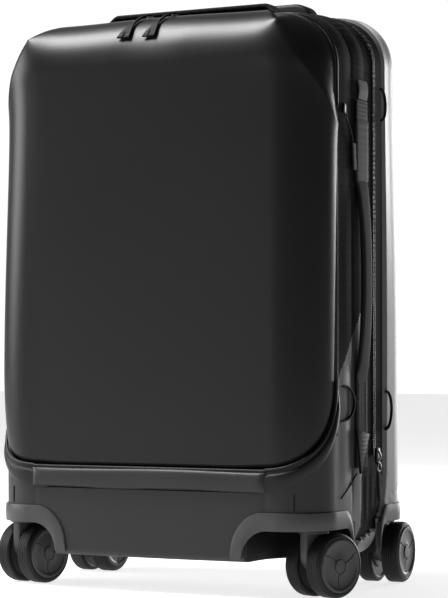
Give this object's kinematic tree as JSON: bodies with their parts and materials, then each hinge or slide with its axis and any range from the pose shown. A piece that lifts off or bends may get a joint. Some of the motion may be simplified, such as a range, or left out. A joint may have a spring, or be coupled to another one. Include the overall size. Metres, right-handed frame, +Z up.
{
  "type": "carry-on roller case",
  "caption": "Soft-sided upright carry-on case on swivel casters: hinged like a book, with a padded front pocket, telescopic trolley handle, grab handles and zippers.",
  "frame": {"origin": "middle of the whole case's footprint, at the height of the floor under its wheels", "axes": "+Z up, +X towards the case's own side with the grab handle and main slider, -Y out of the padded pocket, +Y out of the back"},
  "size_m": [0.3594, 0.233, 0.559],
  "materials": {
    "shell": "matte coated ripstop over foam and board",
    "panel": "smooth matte coated fabric over foam",
    "trim": "narrow woven trim",
    "webbing": "woven webbing",
    "lining": "plain-weave lining",
    "guard": "fine-textured moulded plastic",
    "housing": "moulded plastic",
    "caster": "moulded nylon",
    "steel": "plain steel",
    "tube": "dark anodised",
    "wheel": "moulded wheel with a soft tread",
    "zip": "painted die-cast"
  },
  "bodies": {
    "rear_half": {"rear_shell": "shell", "rear_lining_board": "lining", "rear_zipper_tape": "trim", "spine_hinge": "trim", "rear_gear_loop_upper": "webbing", "rear_gear_loop_lower": "webbing", "rear_corner_guard_left": "guard", "rear_wheel_housing_left": "housing", "rear_corner_guard_right": "guard", "rear_wheel_housing_right": "housing", "trolley_bezel": "housing", "trolley_foot_bracket": "housing", "trolley_outer_tube_left": "tube", "trolley_outer_tube_right": "tube"},
    "front_half": {"front_shell": "shell", "front_zipper_tape": "trim", "front_pocket_rim": "trim", "front_pocket_panel": "panel", "bottom_grab_strip": "panel", "pocket_sleeve": "lining", "top_grab_handle": "webbing", "side_grab_handle": "webbing", "front_gear_loop": "webbing", "front_corner_guard_left": "guard", "front_wheel_housing_left": "housing", "front_corner_guard_right": "guard", "front_wheel_housing_right": "housing"},
    "pocket_flap": {"pocket_flap": "panel"},
    "pocket_slider_left": {"pocket_slider_left": "zip"},
    "pocket_pull_left": {"pocket_pull_left": "webbing"},
    "pocket_slider_right": {"pocket_slider_right": "zip"},
    "pocket_pull_right": {"pocket_pull_right": "webbing"},
    "main_slider": {"main_slider": "zip"},
    "main_pull": {"main_pull": "webbing"},
    "trolley_middle": {"trolley_middle_tube_left": "tube", "trolley_middle_tube_right": "tube"},
    "trolley_top": {"trolley_inner_tube_left": "tube", "trolley_inner_tube_right": "tube", "trolley_grip": "housing"},
    "trolley_button": {"trolley_button": "caster"},
    "front_left_caster": {"front_left_caster_stem": "steel", "front_left_caster_axle": "steel", "front_left_caster_fork": "caster"},
    "front_left_wheel_a": {"front_left_wheel_a": "wheel"},
    "front_left_wheel_b": {"front_left_wheel_b": "wheel"},
    "front_right_caster": {"front_right_caster_stem": "steel", "front_right_caster_axle": "steel", "front_right_caster_fork": "caster"},
    "front_right_wheel_a": {"front_right_wheel_a": "wheel"},
    "front_right_wheel_b": {"front_right_wheel_b": "wheel"},
    "rear_left_caster": {"rear_left_caster_stem": "steel", "rear_left_caster_axle": "steel", "rear_left_caster_fork": "caster"},
    "rear_left_wheel_a": {"rear_left_wheel_a": "wheel"},
    "rear_left_wheel_b": {"rear_left_wheel_b": "wheel"},
    "rear_right_caster": {"rear_right_caster_stem": "steel", "rear_right_caster_axle": "steel", "rear_right_caster_fork": "caster"},
    "rear_right_wheel_a": {"rear_right_wheel_a": "wheel"},
    "rear_right_wheel_b": {"rear_right_wheel_b": "wheel"}
  },
  "joints": [
    {"name": "lid_open", "type": "hinge", "parent": "rear_half", "child": "front_half", "pos_m": [-0.17555, 0.0213, 0.28], "axis": [0, 0, -1], "range_deg": [0, 170]},
    {"name": "handle_stage_1", "type": "slide", "parent": "rear_half", "child": "trolley_middle", "axis": [0, 0, 1], "range_m": [0, 0.235]},
    {"name": "handle_stage_2", "type": "slide", "parent": "trolley_middle", "child": "trolley_top", "axis": [0, 0, 1], "range_m": [0, 0.235]},
    {"name": "handle_button", "type": "slide", "parent": "trolley_top", "child": "trolley_button", "axis": [0, 0, -1], "range_m": [0, 0.0035], "stiffness_N_per_m": 900, "springref_m": -0.002},
    {"name": "pocket_flap_open", "type": "hinge", "parent": "front_half", "child": "pocket_flap", "pos_m": [-0.00455, -0.1157, 0.432], "axis": [1, 0, 0], "range_deg": [0, 40]},
    {"name": "main_slider_run", "type": "slide", "parent": "rear_half", "child": "main_slider", "axis": [0, 0, 1], "range_m": [0, 0.28]},
    {"name": "main_pull_lift", "type": "hinge", "parent": "main_slider", "child": "main_pull", "pos_m": [0.16665, 0.0213, 0.1142], "axis": [0, -1, 0], "range_deg": [0, 90]},
    {"name": "pocket_slider_left_run", "type": "slide", "parent": "pocket_flap", "child": "pocket_slider_left", "axis": [-1, 0, 0], "range_m": [0, 0.09]},
    {"name": "pocket_pull_left_lift", "type": "hinge", "parent": "pocket_slider_left", "child": "pocket_pull_left", "pos_m": [-0.02255, -0.0734, 0.526], "axis": [-1, 0, 0], "range_deg": [0, 90]},
    {"name": "pocket_slider_right_run", "type": "slide", "parent": "pocket_flap", "child": "pocket_slider_right", "axis": [1, 0, 0], "range_m": [0, 0.09]},
    {"name": "pocket_pull_right_lift", "type": "hinge", "parent": "pocket_slider_right", "child": "pocket_pull_right", "pos_m": [0.00345, -0.0734, 0.526], "axis": [-1, 0, 0], "range_deg": [0, 90]},
    {"name": "swivel_front_left", "type": "hinge", "parent": "front_half", "child": "front_left_caster", "pos_m": [-0.15455, -0.0784, 0.06], "axis": [0, 0, 1], "continuous": true},
    {"name": "wheel_front_left_a", "type": "hinge", "parent": "front_left_caster", "child": "front_left_wheel_a", "pos_m": [-0.1522, -0.06796, 0.0286], "axis": [0.9755, -0.2198, 0], "continuous": true},
    {"name": "wheel_front_left_b", "type": "hinge", "parent": "front_left_caster", "child": "front_left_wheel_b", "pos_m": [-0.1522, -0.06796, 0.0286], "axis": [0.9755, -0.2198, 0], "continuous": true},
    {"name": "swivel_front_right", "type": "hinge", "parent": "front_half", "child": "front_right_caster", "pos_m": [0.14545, -0.0784, 0.06], "axis": [0, 0, 1], "continuous": true},
    {"name": "wheel_front_right_a", "type": "hinge", "parent": "front_right_caster", "child": "front_right_wheel_a", "pos_m": [0.14969, -0.06643, 0.0286], "axis": [0.9426, -0.3338, 0], "continuous": true},
    {"name": "wheel_front_right_b", "type": "hinge", "parent": "front_right_caster", "child": "front_right_wheel_b", "pos_m": [0.14969, -0.06643, 0.0286], "axis": [0.9426, -0.3338, 0], "continuous": true},
    {"name": "swivel_rear_left", "type": "hinge", "parent": "rear_half", "child": "rear_left_caster", "pos_m": [-0.15455, 0.073, 0.06], "axis": [0, 0, 1], "continuous": true},
    {"name": "wheel_rear_left_a", "type": "hinge", "parent": "rear_left_caster", "child": "rear_left_wheel_a", "pos_m": [-0.15497, 0.06101, 0.0286], "axis": [-0.9994, 0.0349, 0], "continuous": true},
    {"name": "wheel_rear_left_b", "type": "hinge", "parent": "rear_left_caster", "child": "rear_left_wheel_b", "pos_m": [-0.15497, 0.06101, 0.0286], "axis": [-0.9994, 0.0349, 0], "continuous": true},
    {"name": "swivel_rear_right", "type": "hinge", "parent": "rear_half", "child": "rear_right_caster", "pos_m": [0.14545, 0.073, 0.06], "axis": [0, 0, 1], "continuous": true},
    {"name": "wheel_rear_right_a", "type": "hinge", "parent": "rear_right_caster", "child": "rear_right_wheel_a", "pos_m": [0.14478, 0.08678, 0.0286], "axis": [0.9988, 0.0489, 0], "continuous": true},
    {"name": "wheel_rear_right_b", "type": "hinge", "parent": "rear_right_caster", "child": "rear_right_wheel_b", "pos_m": [0.14478, 0.08678, 0.0286], "axis": [0.9988, 0.0489, 0], "continuous": true}
  ]
}
